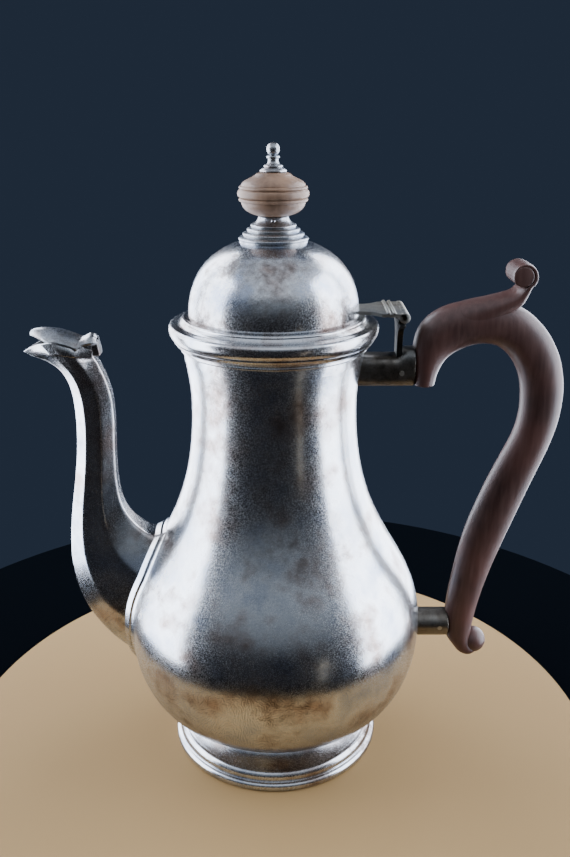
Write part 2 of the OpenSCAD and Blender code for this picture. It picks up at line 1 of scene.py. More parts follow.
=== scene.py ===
import bmesh
import bpy
import numpy as np
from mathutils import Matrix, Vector


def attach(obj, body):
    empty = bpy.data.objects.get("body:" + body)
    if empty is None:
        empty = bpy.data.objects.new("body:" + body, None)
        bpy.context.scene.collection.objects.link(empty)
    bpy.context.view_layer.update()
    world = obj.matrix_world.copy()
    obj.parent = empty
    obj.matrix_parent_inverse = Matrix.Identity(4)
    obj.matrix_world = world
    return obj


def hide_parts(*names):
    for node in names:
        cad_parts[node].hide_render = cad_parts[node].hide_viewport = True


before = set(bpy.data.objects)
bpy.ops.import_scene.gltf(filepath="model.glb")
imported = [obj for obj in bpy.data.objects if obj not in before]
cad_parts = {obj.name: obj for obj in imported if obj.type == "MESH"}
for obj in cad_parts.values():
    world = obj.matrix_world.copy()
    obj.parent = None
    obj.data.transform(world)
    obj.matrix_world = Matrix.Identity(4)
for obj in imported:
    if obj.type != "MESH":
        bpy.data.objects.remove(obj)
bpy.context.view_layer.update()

mm = 0.001
around = 192          # steps round a turned piece
fullTurn = 2 * np.pi


# cubic curve: the four points weighted by the powers of t and 1 - t
def bezier(a, b, c, d, count):
    t = np.linspace(0, 1, count)[:, None]
    a, b, c, d = (np.array(p, float) for p in (a, b, c, d))
    return (1 - t)**3 * a + 3 * (1 - t)**2 * t * b + 3 * (1 - t) * t**2 * c + t**3 * d


# smooth curve through the rows: the slope at each row is half the step between its neighbours
def spline(rows, count):
    p = np.array(rows, float)
    p = np.vstack([2 * p[0] - p[1], p, 2 * p[-1] - p[-2]])
    t = np.linspace(0, len(p) - 3, count)
    i = np.minimum(t.astype(int), len(p) - 4)
    f = (t - i)[:, None]
    a, b, c, d = p[i], p[i + 1], p[i + 2], p[i + 3]
    return 0.5 * (2*b + (c - a)*f + (2*a - 5*b + 4*c - d)*f**2 + (3*b - a - 3*c + d)*f**3)


# corner cutting: each edge keeps its middle half, so corners turn into small arcs
def soften(points, passes=2, closed=False):
    p = np.array(points, float)
    for _ in range(passes):
        q = np.roll(p, -1, 0) if closed else p[1:]
        s = p if closed else p[:-1]
        cut = np.stack([0.75 * s + 0.25 * q, 0.25 * s + 0.75 * q], 1).reshape(-1, p.shape[1])
        p = cut if closed else np.vstack([p[:1], cut, p[-1:]])
    return p


# the line moved sideways, along its own normal, by the distance
def offsetLine(line, distance):
    d = np.gradient(line, axis=0)
    d /= np.linalg.norm(d, axis=1)[:, None] + 1e-12
    return line + distance * np.stack([-d[:, 1], d[:, 0]], 1)


# surface of revolution: radius times cosine and sine of the angle, with the height kept
def revolve(line, steps=around):
    a = np.linspace(0, fullTurn, steps, endpoint=False)
    line = np.array(line, float)
    r, z = line[:, 0][:, None], line[:, 1][:, None]
    return np.stack([r * np.cos(a), r * np.sin(a), z + 0 * a], -1)


# a turned grid laid on its side, so that its axis runs along Y through the point x, z
def lyingAlongY(grid, x, z):
    return np.stack([grid[..., 0] + x, grid[..., 2], grid[..., 1] + z], -1)


# the size of v raised to the power, with the sign of v kept
def signedPower(v, power):
    return np.sign(v) * np.abs(v)**power


# radius of an octagon of inner radius 1 whose corners are eased, by a power mean of its eight sides
def softOctagon(angle, sharpness=46):
    sides = np.maximum(0, np.cos(angle[:, None] - np.arange(8) * np.pi / 4))
    return (sides**sharpness).sum(1)**(-1 / sharpness)


# corner numbers of the four-sided faces of a grid that closes on itself along its columns
def faceGrid(rows, cols, wrapRows):
    i = np.arange(rows if wrapRows else rows - 1)[:, None]
    j = np.arange(cols)[None, :]
    i2, j2 = (i + 1) % rows, (j + 1) % cols
    return np.stack([i * cols + j, i * cols + j2, i2 * cols + j2, i2 * cols + j], -1).reshape(-1, 4)


# joins grids of points in millimetres into one mesh; wrap joins a grid's last row to its first, and
# capped closes both its ends to their middle points; rides is the model's body that it moves with
def makePiece(name, grids, material, rides, nodes, wrap=False, capped=False):
    points, faces, shift = [], [], 0
    for grid in grids:
        rows, cols = grid.shape[:2]
        if capped:
            ends = [np.repeat(grid[k].mean(0)[None], cols, 0)[None] for k in (0, -1)]
            grid = np.concatenate([ends[0], grid, ends[1]])
            rows += 2
        points.append(grid.reshape(-1, 3))
        faces.append(faceGrid(rows, cols, wrap) + shift)
        shift += rows * cols
    mesh = bpy.data.meshes.new(name)
    mesh.from_pydata((np.concatenate(points) * mm).tolist(), [], np.concatenate(faces).tolist())
    return finishPiece(name, mesh, material, rides, nodes)


# merges doubles and turns every face outwards
def closeMesh(mesh):
    build = bmesh.new()
    build.from_mesh(mesh)
    bmesh.ops.remove_doubles(build, verts=build.verts, dist=1e-6)
    bmesh.ops.recalc_face_normals(build, faces=build.faces)
    build.to_mesh(mesh)
    build.free()


# closes a mesh, smooths it, gives it its material, attaches it to its body and hides the model's solids that
# it stands for
def finishPiece(name, mesh, material, rides, nodes):
    closeMesh(mesh)
    mesh.polygons.foreach_set("use_smooth", np.ones(len(mesh.polygons), bool))
    mesh.materials.append(material)
    piece = bpy.data.objects.new(name, mesh)
    bpy.context.scene.collection.objects.link(piece)
    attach(piece, rides)
    if nodes:
        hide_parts(*nodes)
    return piece


# flat-sided solids: each is an outline carried from one side to the other
def prismMesh(name, parts):
    points, faces, shift = [], [], 0
    for low, high in parts:
        n = len(low)
        points += [low, high]
        faces += [[shift + k for k in range(n)][::-1], [shift + n + k for k in range(n)]]
        faces += [[shift + k, shift + (k + 1) % n, shift + n + (k + 1) % n, shift + n + k]
                  for k in range(n)]
        shift += 2 * n
    mesh = bpy.data.meshes.new(name)
    mesh.from_pydata((np.concatenate(points) * mm).tolist(), [], faces)
    return mesh


# flat-sided piece whose edges are rounded by the bevel, in millimetres
def prism(name, parts, bevel, material, rides, nodes):
    piece = finishPiece(name, prismMesh(name, parts), material, rides, nodes)
    edge = piece.modifiers.new("roundedEdges", "BEVEL")
    edge.width = bevel * mm
    edge.segments = 3
    edge.limit_method = "ANGLE"
    edge.harden_normals = True
    return piece


# sRGB hex to linear: each channel above the toe is raised to 2.4
def linear(hexColour):
    c = np.array([int(hexColour[k:k + 2], 16) for k in (1, 3, 5)]) / 255
    return tuple(np.where(c <= 0.04045, c / 12.92, ((c + 0.055) / 1.055)**2.4)) + (1.0,)


# adds one node: settings name its properties or sockets, links name the sockets that feed it
def addNode(tree, kind, settings, links, result=0):
    made = tree.nodes.new(kind)
    for key, value in settings.items():
        if isinstance(key, str) and hasattr(made, key):
            setattr(made, key, value)
        else:
            made.inputs[key].default_value = value
    for key, source in links.items():
        tree.links.new(source, made.inputs[key])
    return made.outputs[result]


# an empty material, with its node tree and its shader
def newMaterial(name):
    material = bpy.data.materials.new(name)
    material.use_nodes = True
    tree = material.node_tree
    return material, tree, tree.nodes["Principled BSDF"]


# texture scale whose pattern repeats about once in that many millimetres
def perMetre(millimetres):
    return 1000.0 / millimetres


# Raised sterling silver: planished with a hammer, polished by hand for years, then left to tarnish.
# It gives a soft mirror whose edges break into fine grain, under clouds of brown and blue film.
silverLook = {
    "clean": "#d0d3d6",       # silver where hands and cloth have kept it bright
    "warmFilm": "#967c6e",    # thin yellow-brown sulphide
    "coolFilm": "#8794aa",    # thicker film that has turned blue
    "tarnish": "#5b534e",     # grey-brown bloom
    "speck": "#2b2522",       # pits that hold old polish
    "cloud": 30, "film": 15, "mottle": 3.4, "grain": 0.7, "hammer": 9,      # in mm
    "scratch": 0.28,          # polishing scratches are near 0.05 mm, too fine to show, so drawn coarser
    "worn": 0.12, "bloomed": 0.38,      # roughness where polished and where tarnished
    "grainDepth": 0.1, "hammerDepth": 0.06, "grainHigh": 0.3, "hammerHigh": 1.0,    # the last two in mm
    "shadeTop": 42, "shadeFade": 16, "lowShade": 0.5,     # below this height in mm extra tarnish is painted on as shade, darkening silver that reflects the shaded floor
    "bloomHaze": 0.3,         # share of the bloom that dulls the metal
}


# colour: clean metal mixed with warm and cool film, then bloom, then pits, each by its own noise.
# bloom is the clouds times their broken edge, plus painted shade low down; roughness runs from worn
# to bloomed with the scratches plus a share of the bloom; amount is how far the tarnish has gone, from 0 to 1
def tarnishedSilver(name, look, amount):
    material, tree, shader = newMaterial(name)
    place = addNode(tree, "ShaderNodeTexCoord", {}, {}, "Object")
    clouds, film, mottle, grain, scratch, hammer = (
        addNode(tree, "ShaderNodeTexNoise",
                {"Scale": perMetre(look[size]), "Detail": detail, "Roughness": rough}, {"Vector": place})
        for size, detail, rough in (("cloud", 5.0, 0.6), ("film", 4.0, 0.55), ("mottle", 7.0, 0.7),
                                    ("grain", 3.0, 0.65), ("scratch", 2.0, 0.5), ("hammer", 1.0, 0.4)))
    cloudy = addNode(tree, "ShaderNodeMapRange", {"From Min": 0.66 - 0.34 * amount,
                                                  "From Max": 0.84 - 0.2 * amount}, {"Value": clouds})
    broken = addNode(tree, "ShaderNodeMapRange", {"From Min": 0.34, "From Max": 0.62}, {"Value": mottle})
    height = addNode(tree, "ShaderNodeSeparateXYZ", {}, {"Vector": place}, "Z")
    # painted shade: the tarnish thickens towards the foot, so the lower silver reads as reflecting a shaded
    # floor
    shadedLow = addNode(tree, "ShaderNodeMapRange", {"From Min": look["shadeTop"] * mm,
                                                  "From Max": (look["shadeTop"] - look["shadeFade"]) * mm,
                                                  "To Max": look["lowShade"]}, {"Value": height})
    bloom = addNode(tree, "ShaderNodeMath", {"operation": "MULTIPLY_ADD", "use_clamp": True},
                    {0: cloudy, 1: broken, 2: shadedLow})
    warm = addNode(tree, "ShaderNodeMapRange", {"From Min": 0.5, "From Max": 0.68,
                                                "To Max": 0.45 + 0.45 * amount}, {"Value": film})
    cool = addNode(tree, "ShaderNodeMapRange", {"From Min": 0.5, "From Max": 0.32,
                                                "To Max": 0.4 + 0.4 * amount}, {"Value": film})
    pits = addNode(tree, "ShaderNodeMapRange", {"From Min": 0.62, "From Max": 0.74,
                                                "To Max": 0.25 + 0.5 * amount}, {"Value": grain})
    colour = addNode(tree, "ShaderNodeMix", {"data_type": "RGBA", 6: linear(look["clean"]),
                                             7: linear(look["warmFilm"])}, {0: warm}, 2)
    colour = addNode(tree, "ShaderNodeMix", {"data_type": "RGBA", 7: linear(look["coolFilm"])},
                     {0: cool, 6: colour}, 2)
    colour = addNode(tree, "ShaderNodeMix", {"data_type": "RGBA", 7: linear(look["tarnish"])},
                     {0: bloom, 6: colour}, 2)
    colour = addNode(tree, "ShaderNodeMix", {"data_type": "RGBA", 7: linear(look["speck"])},
                     {0: pits, 6: colour}, 2)
    tree.links.new(colour, shader.inputs["Base Color"])
    scratched = addNode(tree, "ShaderNodeMapRange", {"From Min": 0.38, "From Max": 0.72}, {"Value": scratch})
    haze = addNode(tree, "ShaderNodeMath", {"operation": "MULTIPLY_ADD", 1: look["bloomHaze"],
                                            "use_clamp": True}, {0: bloom, 2: scratched})
    rough = addNode(tree, "ShaderNodeMapRange", {"To Min": look["worn"], "To Max": look["bloomed"]},
                    {"Value": haze})
    tree.links.new(rough, shader.inputs["Roughness"])
    planished = addNode(tree, "ShaderNodeBump", {"Strength": look["hammerDepth"],
                                                 "Distance": look["hammerHigh"] * mm}, {"Height": hammer})
    bump = addNode(tree, "ShaderNodeBump", {"Strength": look["grainDepth"],
                                            "Distance": look["grainHigh"] * mm},
                   {"Height": grain, "Normal": planished})
    tree.links.new(bump, shader.inputs["Normal"])
    shader.inputs["Metallic"].default_value = 1.0
    return material


# Stained pearwood, carved with a rasp and scraped smooth: a satin red-brown whose grain hardly shows.
woodLook = {
    "dark": "#36221f", "mid": "#553731", "light": "#745850",
    "grain": 1.3, "figure": 22, "pores": 0.5,       # sizes in mm
    "rough": 0.42, "contrast": 0.3, "alongZ": 0.1,      # alongZ draws the grain out along Z
}


# colour: dark to mid by the wide figure, then lighter by the grain; roughness follows the grain
def stainedWood(name, look):
    material, tree, shader = newMaterial(name)
    place = addNode(tree, "ShaderNodeTexCoord", {}, {}, "Object")
    drawn = addNode(tree, "ShaderNodeMapping", {"Scale": (1, 1, look["alongZ"])}, {"Vector": place})
    grain, pores = (
        addNode(tree, "ShaderNodeTexNoise", {"Scale": perMetre(look[size]), "Detail": 4.0}, {"Vector": drawn})
        for size in ("grain", "pores"))
    figure = addNode(tree, "ShaderNodeTexNoise", {"Scale": perMetre(look["figure"]), "Detail": 3.0},
                     {"Vector": place})
    wide = addNode(tree, "ShaderNodeMapRange", {"From Min": 0.35, "From Max": 0.65}, {"Value": figure})
    fine = addNode(tree, "ShaderNodeMapRange", {"From Min": 0.4, "From Max": 0.75,
                                                "To Max": look["contrast"]}, {"Value": grain})
    colour = addNode(tree, "ShaderNodeMix", {"data_type": "RGBA", 6: linear(look["dark"]),
                                             7: linear(look["mid"])}, {0: wide}, 2)
    colour = addNode(tree, "ShaderNodeMix", {"data_type": "RGBA", 7: linear(look["light"])},
                     {0: fine, 6: colour}, 2)
    tree.links.new(colour, shader.inputs["Base Color"])
    rough = addNode(tree, "ShaderNodeMapRange", {"To Min": look["rough"] - 0.05,
                                                 "To Max": look["rough"] + 0.08}, {"Value": grain})
    tree.links.new(rough, shader.inputs["Roughness"])
    bump = addNode(tree, "ShaderNodeBump", {"Strength": 0.05, "Distance": 0.0003}, {"Height": pores})
    tree.links.new(bump, shader.inputs["Normal"])
    shader.inputs["IOR"].default_value = 1.5
    return material


bodySilver = tarnishedSilver("raisedTarnishedSilver", silverLook, 0.6)

# the dome is touched less than the body: more tarnish, a smaller mottle and a deeper grain, so it looks dusty
domeSilver = tarnishedSilver("raisedDomeSilver", dict(
    silverLook, mottle=2.6, grain=0.9, grainDepth=0.16), 0.8)

# mouldings finished on a lathe: hardly a hammer mark and little painted low shade, so their lines of light
# stay crisp
turnedSilver = tarnishedSilver("latheTurnedSilver", dict(
    silverLook, worn=0.15, bloomed=0.34, grainDepth=0.03, hammerDepth=0.02, lowShade=0.15), 0.55)

# cast silver, filed flat: small clouds in a fairly clear mirror
spoutSilver = tarnishedSilver("castTarnishedSilver", dict(
    silverLook, cloud=14, worn=0.14, bloomed=0.34), 0.55)

# small fittings that are hard to rub: greyer, with wider and softer highlights
finialSilver = tarnishedSilver("greyedSilver", dict(
    silverLook, clean="#a3a7aa", cloud=14, worn=0.22, bloomed=0.46), 0.7)

# hinge leaves and pins: grey-brown, nearly without a mirror
dullSilver = tarnishedSilver("darkenedSilver", dict(
    silverLook, clean="#aeaba2", warmFilm="#8d8574", coolFilm="#84898a", tarnish="#55504a", worn=0.34,
    bloomed=0.6), 0.7)

# sockets, never polished beside the wood: a dark bronze grey that still shines a little
blackenedSilver = tarnishedSilver("blackenedSilver", dict(
    silverLook, clean="#7d7972", warmFilm="#62594d", coolFilm="#5b6164", tarnish="#37332f", worn=0.26,
    bloomed=0.5), 0.85)

# the hinge stand: almost black, partly from thick sulphide and partly as painted shade from the lid above it
oxidisedShadedSilver = tarnishedSilver("oxidisedShadedSilver", dict(
    silverLook, clean="#45433f", warmFilm="#3c3832", coolFilm="#3b4144", tarnish="#24221f", worn=0.3,
    bloomed=0.5), 0.85)

handleWood = stainedWood("stainedPearwood", woodLook)

# the same wood where its stain has worn off: pale, with a closer figure
knobWood = stainedWood("fadedPearwood", dict(
    woodLook, dark="#67503f", mid="#886b54", light="#a98a71", figure=9, rough=0.45, contrast=0.3))
print("materials made")


body = {
    "rimHeight": 168.3, "mouthRadius": 32.4, "lipHeight": 6.8,
    "neckRadius": 30.3, "neckHeight": 144.0,
    "bellyRadius": 57.1, "bellyHeight": 53.5,
    "baseRadius": 29.0, "baseHeight": 13.6, "dish": 1.6, "wall": 1.2, "mouldingOut": 3.8, "mouldingTall": 3.9,
}


# half outline of the body: three cubics from the foot through the belly and neck to the lip
def bodyLine(b):
    base = np.array([b["baseRadius"], b["baseHeight"]])
    belly = np.array([b["bellyRadius"], b["bellyHeight"]])
    neck = np.array([b["neckRadius"], b["neckHeight"]])
    lip = np.array([b["mouthRadius"], b["rimHeight"] - b["lipHeight"]])
    bottom = b["baseHeight"] - b["dish"]
    return np.vstack([
        bezier((0, bottom), (9, bottom), (20, bottom), base, 12)[:-1],
        bezier(base, base + (4.7, 2.1), belly - (0, 35), belly, 50)[:-1],
        bezier(belly, belly + (0, 30.6), neck - (0, 54.3), neck, 70)[:-1],
        bezier(neck, neck + (0, 6.5), lip - (0.9, 4.5), lip, 18)[:-1],
        np.stack([np.full(5, lip[0]), np.linspace(lip[1], b["rimHeight"] - 0.15, 5)], 1),
        [[lip[0] - 0.15, b["rimHeight"]]],
    ])


outer = bodyLine(body)
inner = offsetLine(outer, body["wall"])
inner[-1] = [body["mouthRadius"] - body["wall"] + 0.1, body["rimHeight"]]
inner[0, 0] = 0
sideLine = outer[outer[:, 1] >= body["baseHeight"]]


# radius of the body's skin at a height, read along its outline
def bodyRadius(z):
    return np.interp(z, sideLine[:, 1], sideLine[:, 0])


shell = makePiece("bodyShell", [revolve(np.vstack([outer, inner[::-1]]))], bodySilver, "pot",
                  ["body_shell"])

strainer = {"radius": 1.6, "pitch": 5.6, "rows": 5, "aboveBelly": 10.5}


# holes that let coffee into the spout: staggered rows of three and two, each drilled along X
def strainerHoles(s):
    a = np.linspace(0, fullTurn, 24, endpoint=False)
    holes = []
    for row in range(s["rows"]):
        count = 3 - row % 2
        z = body["bellyHeight"] + s["aboveBelly"] + (row - (s["rows"] - 1) / 2) * s["pitch"] * 0.87
        for i in range(count):
            y = (i - (count - 1) / 2) * s["pitch"]
            ring = np.stack([0 * a, y + s["radius"] * np.cos(a), z + s["radius"] * np.sin(a)], 1)
            holes.append([ring - (body["bellyRadius"] + depth, 0, 0) for depth in (2, -12)])
    return holes


drill = bpy.data.objects.new("drill", prismMesh("drill", strainerHoles(strainer)))
closeMesh(drill.data)
bpy.context.scene.collection.objects.link(drill)
drilling = shell.modifiers.new("strainer", "BOOLEAN")
drilling.object = drill
bpy.context.view_layer.update()
pierced = bpy.data.meshes.new_from_object(shell.evaluated_get(bpy.context.evaluated_depsgraph_get()))
shell.modifiers.clear()
shell.data = pierced
pierced.set_sharp_from_angle(angle=np.radians(50))
bpy.data.objects.remove(drill)

# moulding of the mouth, in shares of its reach and height; its back sinks 0.3 mm into the body
rimTall, rimOut = body["mouldingTall"], body["mouldingOut"]
rimLow = body["rimHeight"] - rimTall
rimLine = soften([(body["mouthRadius"] - 0.3 * (u == 0) + rimOut * u, rimLow + rimTall * v) for u, v in (
    (0, 0), (0.2, 0.0), (0.33, 0.06), (0.38, 0.2), (0.33, 0.33), (0.28, 0.38), (0.4, 0.42),
    (0.56, 0.47), (0.72, 0.58), (0.86, 0.76), (0.97, 0.94), (0.97, 1), (0, 1))], 2, True)
makePiece("rimMoulding", [revolve(rimLine)], turnedSilver, "pot", ["rim_moulding"], wrap=True)


foot = {"radius": 41.6, "rings": 7.4, "wall": 1.3, "waist": 30.6}


# half section of the foot: two rolled rings, a cove up to the body, and the hollow inside
def footLine(f):
    r, h, waist = f["radius"], f["rings"], f["waist"]
    top = body["baseHeight"] + 1.3
    outside = np.vstack([
        [(r - 3.0, 0), (r - 1.2, 0)],
        bezier((r - 0.9, 0), (r + 0.3, h * 0.06), (r + 0.15, h * 0.42), (r - 1.8, h * 0.44), 14),
        bezier((r - 2.0, h * 0.46), (r - 1.2, h * 0.6), (r - 2.2, h * 0.97), (r - 4.0, h * 0.97), 14),
        bezier((r - 4.4, h * 1.0), (r - 5.8, h + 0.5), (waist + 0.5, h + 2.6), (waist, top), 18),
    ])
    inside = np.array([(waist - f["wall"], top), (waist - f["wall"], h + 2.4), (r - 6.4, h - 1.6),
                       (r - 3.6, h * 0.4), (r - 3.0, 0.2)])
    return np.vstack([outside, spline(inside, 24)])


makePiece("footRing", [revolve(footLine(foot))], turnedSilver, "pot", ["foot_ring"], wrap=True)
print("body, rim and foot made")


lid = {"gap": 0.3, "flangeRadius": 37.6, "flangeHeight": 7.7, "domeRadius": 30.4, "domeHeight": 27.0,
       "domeWall": 1.0, "bezelDepth": 4.5, "bezelTaper": 0.2}
flangeZ = body["rimHeight"] + lid["gap"]
domeZ = flangeZ + lid["flangeHeight"]
domeTop = domeZ + lid["domeHeight"]
bezelRadius = body["mouthRadius"] - body["wall"] - 0.3

domeOut = bezier((lid["domeRadius"], domeZ), (lid["domeRadius"], domeZ + lid["domeHeight"] * 0.65),
                 (lid["domeRadius"] * 0.6, domeTop), (0, domeTop), 70)
domeIn = offsetLine(domeOut, lid["domeWall"])
domeIn[0] = (lid["domeRadius"] - lid["domeWall"], domeZ)
domeIn[-1] = (0, domeTop - lid["domeWall"])
makePiece("lidDome", [revolve(np.vstack([domeOut[::-1], domeIn]))], domeSilver, "lid",
          ["lid_dome"])

# flange: a rounded brim, a shallow cove, a bead and a step up to the dome
brim, dome, flangeTop = lid["flangeRadius"], lid["domeRadius"], lid["flangeHeight"]
domeInside = dome - lid["domeWall"]
flangeLine = np.vstack([
    soften([(bezelRadius, 0), (brim - 1.6, 0), (brim - 1.2, 0.05), (brim - 0.7, 0.8), (brim - 0.25, 1.7),
            (brim, 2.9), (brim - 0.05, 3.9), (brim - 0.4, 4.7), (brim - 1.1, 5.1), (brim - 2.1, 5.2),
            (brim - 3.2, 5.35), (brim - 4.1, 5.75), (dome + 2.55, 6.3), (dome + 2.35, 6.5)], 2),
    bezier((dome + 2.45, 6.6), (dome + 2.55, 7.3), (dome + 1.6, 7.6), (dome + 0.9, 7.4), 9),
    [(dome + 0.55, 7.35), (dome, flangeTop), (domeInside, flangeTop), (domeInside, 3.5), (bezelRadius, 3.4)],
]) + (0, flangeZ)
makePiece("lidFlange", [revolve(flangeLine)], turnedSilver, "lid", ["lid_flange"], wrap=True)

bezelEnd = bezelRadius - lid["bezelTaper"] * lid["bezelDepth"]
bezelLine = soften([(bezelEnd - 1, -lid["bezelDepth"]), (bezelEnd, -lid["bezelDepth"]), (bezelRadius, 0),
                    (bezelRadius, 3.3), (bezelEnd - 1, 3.3)], 2, True) + (0, flangeZ)
makePiece("lidBezel", [revolve(bezelLine)], turnedSilver, "lid", ["lid_bezel"], wrap=True)


finial = {"ringRadii": (11.9, 10.4, 8.9, 7.6), "ringHeights": (0.7, 2.25, 3.75, 5.1), "colletHeight": 8.3,
          "knobRadius": 12.3, "knobHeight": 14.4, "ballRadius": 2.25, "ballHeight": 7.5, "studRadius": 1.5}
colletZ = domeTop - 1
knobZ = colletZ + finial["colletHeight"]
capZ = knobZ + finial["knobHeight"]


# half-round bead: a half circle whose middle stands out at radius r
def bead(r, z, size, count=9):
    a = np.linspace(-np.pi / 2, np.pi / 2, count)
    return np.stack([r - size + size * np.cos(a), z + size * np.sin(a)], 1)


colletLine = np.vstack([
    [(0, -2.6), (11.9, -2.6), (11.95, -0.1)],
    soften(np.vstack([[(r, z - 0.5), (r + 0.35, z - 0.2), (r + 0.3, z + 0.25), (r - 0.75, z + 0.75)]
                      for r, z in zip(finial["ringRadii"], finial["ringHeights"])]), 2),
    bezier((6.8, 5.9), (6.0, 6.3), (5.4, 6.9), (5.2, 8.2), 12),
    [(5.0, finial["colletHeight"]), (0, finial["colletHeight"])],
]) + (0, colletZ)
makePiece("finialCollet", [revolve(colletLine, 128)], finialSilver, "lid", ["finial_collet"])

pegAngle = np.linspace(0, np.pi / 2, 10)
peg = revolve(np.stack([0.85 * np.cos(pegAngle), -5.1 - 0.75 * np.sin(pegAngle)], 1), 40)
makePiece("colletPeg", [lyingAlongY(peg, 0, colletZ + 6.9)], turnedSilver, "lid", [], capped=True)

# knob, in shares of its radius and height
knobLine = np.vstack([
    [(0, 0), (0.37, 0)],
    bezier((0.42, 0.005), (0.64, 0.04), (0.87, 0.13), (0.9, 0.32), 16),
    soften([(0.895, 0.33), (0.955, 0.34), (0.97, 0.375), (0.95, 0.41), (0.91, 0.425)], 2),
    bezier((0.965, 0.44), (1.02, 0.47), (1.01, 0.57), (0.965, 0.6), 12),
    soften([(0.91, 0.612), (0.945, 0.63), (0.962, 0.655), (0.94, 0.69), (0.89, 0.7)], 2),
    bezier((0.895, 0.712), (0.85, 0.84), (0.58, 0.86), (0.47, 0.97), 14),
    [(0.37, 1), (0, 1)],
]) * (finial["knobRadius"], finial["knobHeight"]) + (0, knobZ)
makePiece("finialKnob", [revolve(knobLine, 128)], knobWood, "lid", ["finial_knob"])

ballSweep = np.linspace(-1.15, np.pi / 2, 22)
studLow = domeTop - lid["domeWall"] - 5
capLine = np.vstack([
    [(0, studLow - capZ), (finial["studRadius"], studLow - capZ), (finial["studRadius"], -0.02)],
    [(4.3, 0), (4.6, 0.25), (4.6, 0.55), (4.35, 0.9), (3.7, 1.35), (3.35, 1.55)],
    bead(3.25, 2.0, 0.42, 7), bezier((2.7, 2.5), (1.9, 2.8), (1.7, 3.4), (1.75, 4.2), 7),
    bead(2.25, 4.95, 0.5, 9), [(1.5, 5.5)],
    finial["ballRadius"] * np.stack([np.cos(ballSweep), np.sin(ballSweep)], 1) + (0, finial["ballHeight"]),
]) + (0, capZ)
makePiece("finialCap", [revolve(capLine, 96)], finialSilver, "lid", ["finial_cap"])
print("lid and finial made")


spout = {"wall": 1.0, "rows": 260, "sides": 176}

# collar section: how far it stands out from the spout, and how far from the belly
collarRows = [(-0.4, 2.6), (0.05, 2.8), (0.35, 2.7), (0.9, 2.28), (1.5, 1.82), (1.95, 1.46), (2.08, 1.2),
              (2.16, 0.75), (2.35, 0.8), (2.9, 0.75), (3.6, 0.45), (4.2, 0.0)]

# front point x z, back point x z, half width, narrowing at the front, rise of the sides
spoutRows = [
    (-49, 36.5, -38, 88, 13.0, 0, 0), (-59.8, 41.5, -47.5, 90.8, 12.7, 0, 0),
    (-69, 50.8, -51.3, 93, 11.7, 0, 0), (-75.6, 62.3, -54.8, 96.3, 10.3, 0, 0),
    (-78.8, 76, -57.3, 100.2, 9.1, 0, 0), (-78.8, 89, -58.9, 105, 8.2, 0, 0),
    (-77.4, 101, -59.7, 111, 7.6, 0, 0), (-75.4, 113, -59.9, 118.5, 7.24, 0, 0),
    (-73.8, 125, -59.7, 127.5, 7.0, 0, 0), (-73.2, 136, -59.3, 136.8, 7.0, 0, 0),
    (-73.6, 145, -59.7, 145.2, 7.0, 0, 0), (-75, 151.6, -61.2, 151.8, 7.0, 0, 0),
    (-77.8, 156.2, -63, 156.6, 7.0, 0.1, 0), (-81.8, 159.0, -64.2, 159.2, 7.0, 0.3, 0.7),
    (-85.0, 160.2, -65.0, 160.5, 7.0, 0.4, 1.9), (-85.8, 160.5, -65.1, 160.9, 7.7, 0.42, 2.2),
    (-88.3, 161.4, -65.0, 162.1, 7.6, 0.5, 3.2), (-90.5, 162.5, -64.8, 163.4, 6.9, 0.55, 4.1),
]


# eight soft panels round a front and a back point, carried up the swan neck
def spoutSurface(rows, grow):
    r = spline(rows, spout["rows"])
    front, back = r[:, 0:2], r[:, 2:4]
    middle, half = (front + back) / 2, (back - front) / 2
    length = np.linalg.norm(half, axis=1)[:, None]
    half = half / length * (length + grow)
    angle = np.linspace(0, fullTurn, spout["sides"], endpoint=False)
    size = softOctagon(angle)
    along, across = size * np.cos(angle), size * np.sin(angle)
    narrow = 1 + r[:, 5][:, None] * np.minimum(0, along)
    x = middle[:, 0][:, None] + half[:, 0][:, None] * along
    arch = (1 - along**2) * (1 - 0.45 * np.maximum(0, along))
    z = middle[:, 1][:, None] + half[:, 1][:, None] * along + r[:, 6][:, None] * arch
    return np.stack([x, (r[:, 4][:, None] + grow) * across * narrow, z], -1)


# each lengthwise line starts where it comes out of the body, that far below its skin
def cutToBody(grid, depth):
    outside = np.hypot(grid[..., 0], grid[..., 1]) - bodyRadius(grid[..., 2]) + depth
    first = np.maximum(np.argmax(outside > 0, axis=0), 1)
    column = np.arange(grid.shape[1])
    before, after = outside[first - 1, column], outside[first, column]
    start = first - 1 + before / (before - after)
    t = np.linspace(0, 1, grid.shape[0])[:, None]
    row = start + (grid.shape[0] - 1 - start) * t
    i = np.minimum(row.astype(int), grid.shape[0] - 2)
    f = (row - i)[..., None]
    return grid[i, column] * (1 - f) + grid[i + 1, column] * f


spoutOut = cutToBody(spoutSurface(spoutRows, 0), 0.5)
spoutIn = cutToBody(spoutSurface(spoutRows, -spout["wall"]), 0.5)
lipTop = (spoutOut[-1] + spoutIn[-1]) / 2 + (0, 0, 0.35)
makePiece("spoutNeck", [np.concatenate([spoutOut, lipTop[None], spoutIn[::-1]])], spoutSilver, "pot",
          ["spout_tube", "spout_head"], wrap=True)


# collar on the belly: the spout's own outline grown step by step, each raised along the belly's normal;
# it needs only the spout's first rows, at its root
def collarSurface(rows):
    grow, raised = spline(rows, 44).T
    lines = np.stack([cutToBody(spoutSurface(spoutRows[:6], g), 0)[0] for g in grow])
    z = lines[..., 2]
    slope = bodyRadius(z + 0.5) - bodyRadius(z - 0.5)
    out = np.stack([lines[..., 0], lines[..., 1], -slope * np.hypot(lines[..., 0], lines[..., 1])], -1)
    out /= np.linalg.norm(out, axis=-1)[..., None]
    return np.concatenate([lines + out * raised[:, None, None], (lines - out * 0.3)[::-1]])


